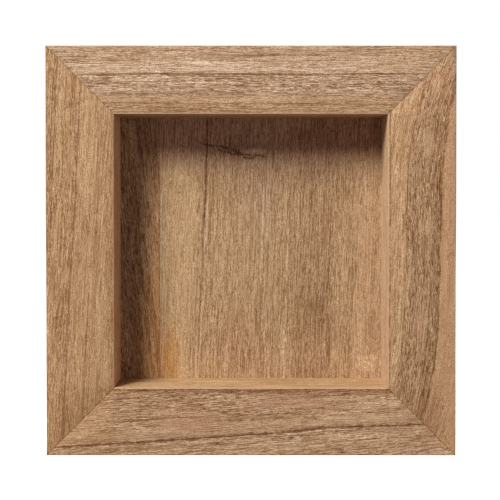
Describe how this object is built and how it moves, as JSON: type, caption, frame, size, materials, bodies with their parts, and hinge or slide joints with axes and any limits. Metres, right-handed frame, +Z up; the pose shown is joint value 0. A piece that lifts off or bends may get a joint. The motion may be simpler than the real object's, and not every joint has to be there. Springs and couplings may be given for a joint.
{
  "type": "floating frame",
  "caption": "Deep square wooden display frame with mitred rails, an open front recess, a boarded back panel and swinging wall-hanging rings.",
  "frame": {"origin": "under the middle of the frame, on the plane of its bottom edge, half way between the front face and the wall", "axes": "+Z up the frame, -Y out of the front face towards the viewer, +Y towards the wall, +X to the viewer's right"},
  "size_m": [0.3048, 0.0572, 0.3048],
  "materials": {
    "rail_wood": "dry matt, straight grain",
    "panel_wood": "dry matt, upright grain",
    "batten_wood": "sawn, unfinished",
    "tenon_wood": "pressed beech",
    "screw_steel": "zinc plated",
    "strap_steel": "nickel plated",
    "ring_steel": "nickel plated",
    "bumper_rubber": "soft matt"
  },
  "bodies": {
    "frame": {"top_rail": "rail_wood", "bottom_rail": "rail_wood", "left_rail": "rail_wood", "right_rail": "rail_wood", "panel_board_left": "panel_wood", "panel_board_right": "panel_wood", "lower_batten": "batten_wood", "upper_batten": "batten_wood", "corner_tenons_bottom_left": "tenon_wood", "corner_tenons_top_left": "tenon_wood", "corner_tenons_top_right": "tenon_wood", "corner_tenons_bottom_right": "tenon_wood", "batten_screws": "screw_steel", "panel_screws": "screw_steel", "hanger_screws_left": "screw_steel", "hanger_screws_right": "screw_steel", "hanger_strap_left": "strap_steel", "hanger_strap_right": "strap_steel", "wall_bumper_bottom_left": "bumper_rubber", "wall_bumper_bottom_right": "bumper_rubber", "wall_bumper_top_left": "bumper_rubber", "wall_bumper_top_right": "bumper_rubber"},
    "left_ring": {"hanger_ring_left": "ring_steel"},
    "right_ring": {"hanger_ring_right": "ring_steel"}
  },
  "joints": [
    {"name": "left_ring_swing", "type": "hinge", "parent": "frame", "child": "left_ring", "pos_m": [-0.13175, 0.02495, 0.232], "axis": [1, 0, 0], "range_deg": [0, 176]},
    {"name": "right_ring_swing", "type": "hinge", "parent": "frame", "child": "right_ring", "pos_m": [0.13175, 0.02495, 0.232], "axis": [1, 0, 0], "range_deg": [0, 176]}
  ]
}
